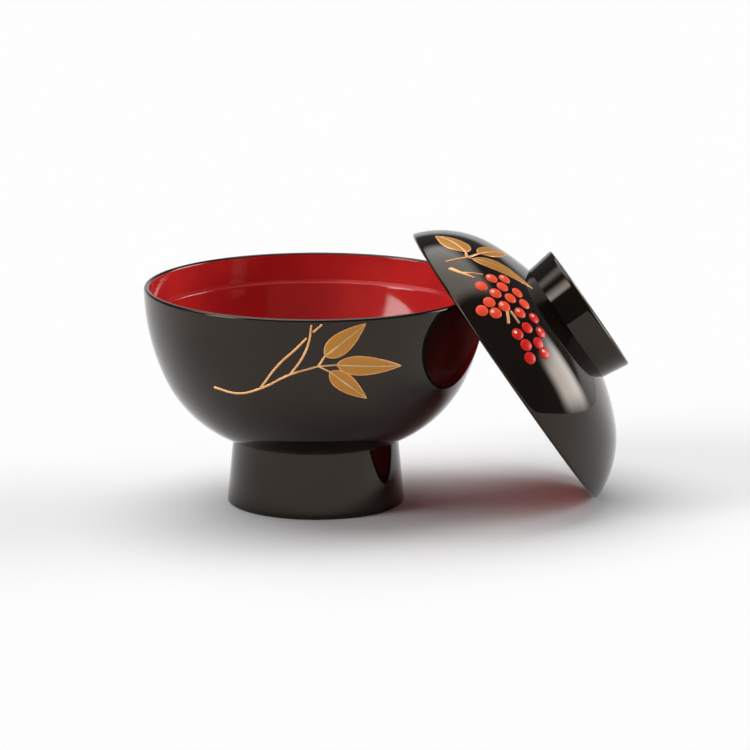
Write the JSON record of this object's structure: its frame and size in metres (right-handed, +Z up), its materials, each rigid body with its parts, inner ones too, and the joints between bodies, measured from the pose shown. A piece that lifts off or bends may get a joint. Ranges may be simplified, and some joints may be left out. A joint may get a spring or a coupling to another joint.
{
  "type": "lacquer soup bowl with lid",
  "caption": "Footed soup bowl in black lacquer with a red inside and a gold leaf sprig, and its domed lid with a ring grip, taken off and leaning on the rim.",
  "frame": {"origin": "centre of the bowl's standing ring, on the table", "axes": "+Z up along the bowl's axis, +X from the bowl towards the leaning lid"},
  "size_m": [0.1703, 0.1201, 0.0948],
  "materials": {
    "turned_blank": "matt, hidden under the coats",
    "black_lacquer": "polished black lacquer",
    "red_lacquer": "polished vermilion lacquer",
    "gold_lines": "fine gold powder in raised lines",
    "gold_fields": "darker gold powder, slightly grainy",
    "berry_red": "raised red lacquer dots",
    "berry_glint": "pale painted highlight"
  },
  "bodies": {
    "bowl": {"bowl_core": "turned_blank", "bowl_black_lacquer": "black_lacquer", "foot_black_lacquer": "black_lacquer", "bowl_red_lacquer": "red_lacquer", "bowl_gold_lines": "gold_lines", "bowl_gold_leaves": "gold_fields"},
    "lid": {"lid_core": "turned_blank", "lid_black_lacquer": "black_lacquer", "lid_red_lacquer": "red_lacquer", "lid_gold_lines": "gold_lines", "lid_gold_leaves": "gold_fields", "lid_berries": "berry_red", "lid_berry_glints": "berry_glint"}
  },
  "joints": [
    {"name": "lid_lift_off", "type": "slide", "parent": "bowl", "child": "lid", "axis": [0.8241, 0, 0.5664], "range_m": [0, 0.1]}
  ]
}
